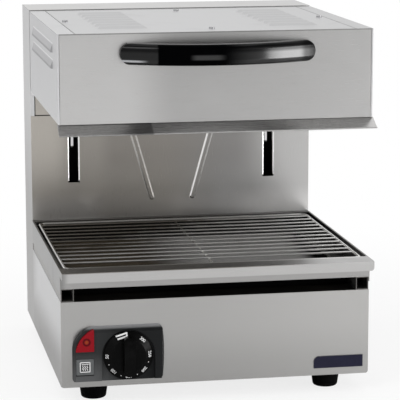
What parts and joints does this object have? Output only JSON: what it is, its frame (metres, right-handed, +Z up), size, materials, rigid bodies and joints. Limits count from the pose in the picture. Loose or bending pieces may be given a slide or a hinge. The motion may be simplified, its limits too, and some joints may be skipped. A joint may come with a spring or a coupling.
{
  "type": "cheese melter",
  "caption": "Countertop rise-and-fall grill: a heated hood slides on a rear column over a wire grid, with a slide-out drip tray, a bowed handle and a dial in front",
  "frame": {"origin": "on the worktop, under the middle of the whole width and depth", "axes": "+X to the right seen from the front, +Y to the back, +Z up"},
  "size_m": [0.456, 0.555, 0.5356],
  "materials": {
    "steel": "brushed stainless",
    "inner_steel": "mill finish",
    "screw_steel": "bright zinc",
    "grid_wire": "bright plated wire",
    "ground_steel": "ground and polished",
    "aluminium": "milled",
    "bronze": "sintered bronze",
    "black_paint": "gloss black",
    "enamel": "speckled vitreous enamel",
    "heater_sheath": "heat-darkened",
    "wool": "ceramic fibre blanket",
    "ceramic": "glazed steatite",
    "handle_black": "gloss black phenolic",
    "knob_black": "semi-gloss black",
    "bezel_grey": "satin dark grey",
    "tile_dark": "satin black with a printed sign",
    "lens_red": "translucent red",
    "lamp": "neon lamp",
    "badge": "blank dark blue plate",
    "control_body": "phenolic",
    "gland_black": "nylon",
    "foot_rubber": "moulded"
  },
  "bodies": {
    "casing": {"base_floor": "steel", "base_front_panel": "steel", "base_side_left": "steel", "base_side_right": "steel", "base_deck": "steel", "foot_front_left": "foot_rubber", "foot_front_right": "foot_rubber", "foot_rear_left": "foot_rubber", "foot_rear_right": "foot_rubber", "foot_screws": "screw_steel", "tray_rail_left": "steel", "tray_rail_right": "steel", "top_pan": "steel", "control_bezel": "bezel_grey", "pilot_lens": "lens_red", "pilot_lamp": "lamp", "symbol_tile": "tile_dark", "blank_badge": "badge", "heat_control": "control_body", "terminal_block": "control_body", "cable_gland": "gland_black", "column_side_left": "steel", "column_side_right": "steel", "column_front_panel": "steel", "column_upper_plate": "steel", "column_top_cap": "steel", "column_rear_cover": "steel", "rear_cover_screws": "screw_steel", "guide_rod_left": "ground_steel", "guide_rod_right": "ground_steel", "lower_crossbar": "inner_steel", "upper_crossbar": "inner_steel", "strut_tubes": "black_paint", "strut_pins": "screw_steel"},
    "hood": {"hood_front_panel": "steel", "hood_side_left": "steel", "hood_side_right": "steel", "hood_top_cover": "steel", "hood_cover_screws": "screw_steel", "hood_back_plate": "steel", "hood_lip": "steel", "reflector": "inner_steel", "insulation": "wool", "element_front": "heater_sheath", "element_rear": "heater_sheath", "element_supports": "inner_steel", "element_terminals": "ceramic", "handle": "handle_black", "handle_screws": "screw_steel", "arm_left": "ground_steel", "arm_right": "ground_steel", "slider_block_left": "aluminium", "slider_block_right": "aluminium", "slider_bushes": "bronze", "carriage_bar": "aluminium", "strut_rods": "ground_steel"},
    "heat_knob": {"knob": "knob_black", "knob_spindle": "screw_steel"},
    "grid": {"wire_grid": "grid_wire"},
    "tray": {"drip_tray": "enamel"}
  },
  "joints": [
    {"name": "hood_lift", "type": "slide", "parent": "casing", "child": "hood", "axis": [0, 0, 1], "range_m": [-0.15, 0]},
    {"name": "knob_turn", "type": "hinge", "parent": "casing", "child": "heat_knob", "pos_m": [-0.13, -0.2245, 0.0735], "axis": [0, 1, 0], "range_deg": [0, 318]},
    {"name": "grid_lift", "type": "slide", "parent": "casing", "child": "grid", "axis": [0, 0, 1], "range_m": [0, 0.03]},
    {"name": "tray_slide", "type": "slide", "parent": "casing", "child": "tray", "axis": [0, -1, 0], "range_m": [0, 0.3]}
  ]
}
